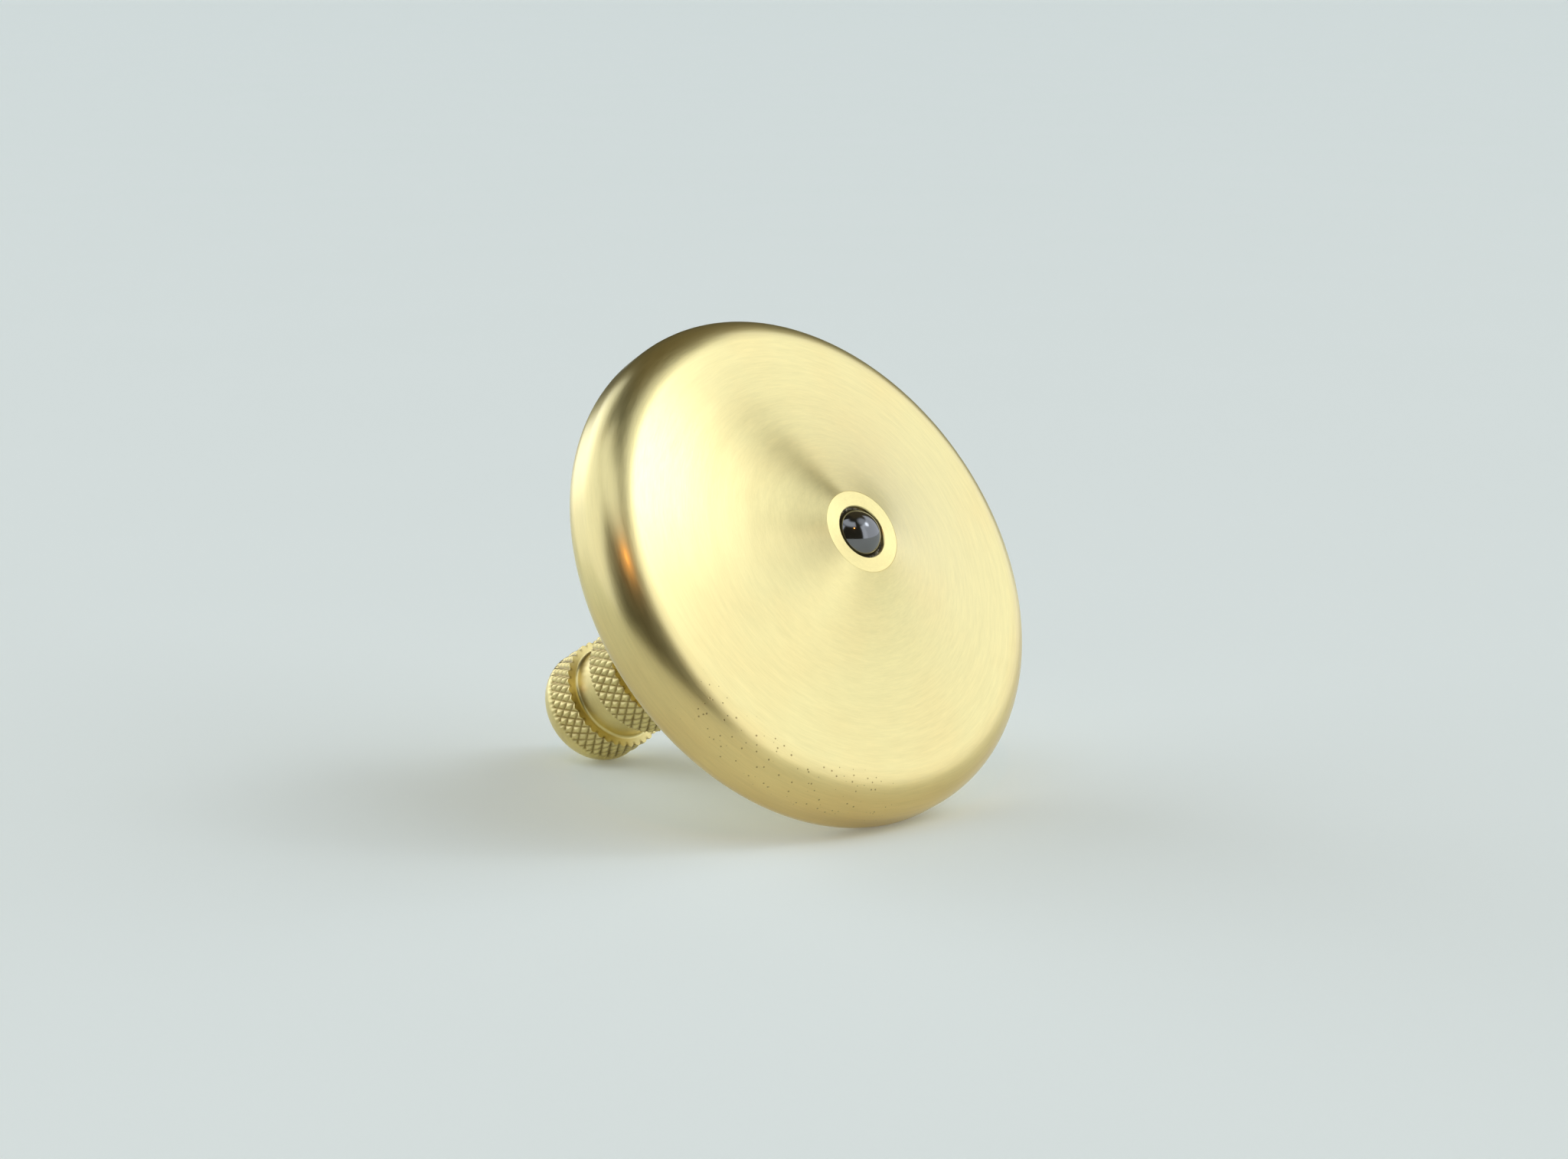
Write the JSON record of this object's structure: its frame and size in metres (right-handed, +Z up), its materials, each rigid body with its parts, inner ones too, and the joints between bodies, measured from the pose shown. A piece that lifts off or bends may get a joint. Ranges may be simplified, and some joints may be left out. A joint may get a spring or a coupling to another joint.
{
  "type": "spinning top",
  "caption": "Turned brass finger top, lying at rest: rounded disc with a gently hollow, coned underside, ceramic ball tip and a diamond-knurled stem.",
  "frame": {"origin": "on the surface that the top lies on, below the centre of its bounding box", "axes": "+Z up from that surface; the spin axis lies in the XZ plane, the ball end towards +X and 30.48 degrees up, the stem end towards -X and down; Y runs across the disc"},
  "size_m": [0.0306, 0.0318, 0.0283],
  "materials": {
    "turned_brass": "satin, fine concentric turning marks",
    "spindle_brass": "smooth turned neck and nose, diamond-knurled grip",
    "black_ceramic": "polished black silicon nitride",
    "cured_adhesive": "clear, slightly cloudy retaining adhesive over brass"
  },
  "bodies": {
    "root": {"flywheel": "turned_brass", "spindle": "spindle_brass", "tip_ball": "black_ceramic", "ball_bond": "cured_adhesive"}
  },
  "joints": []
}
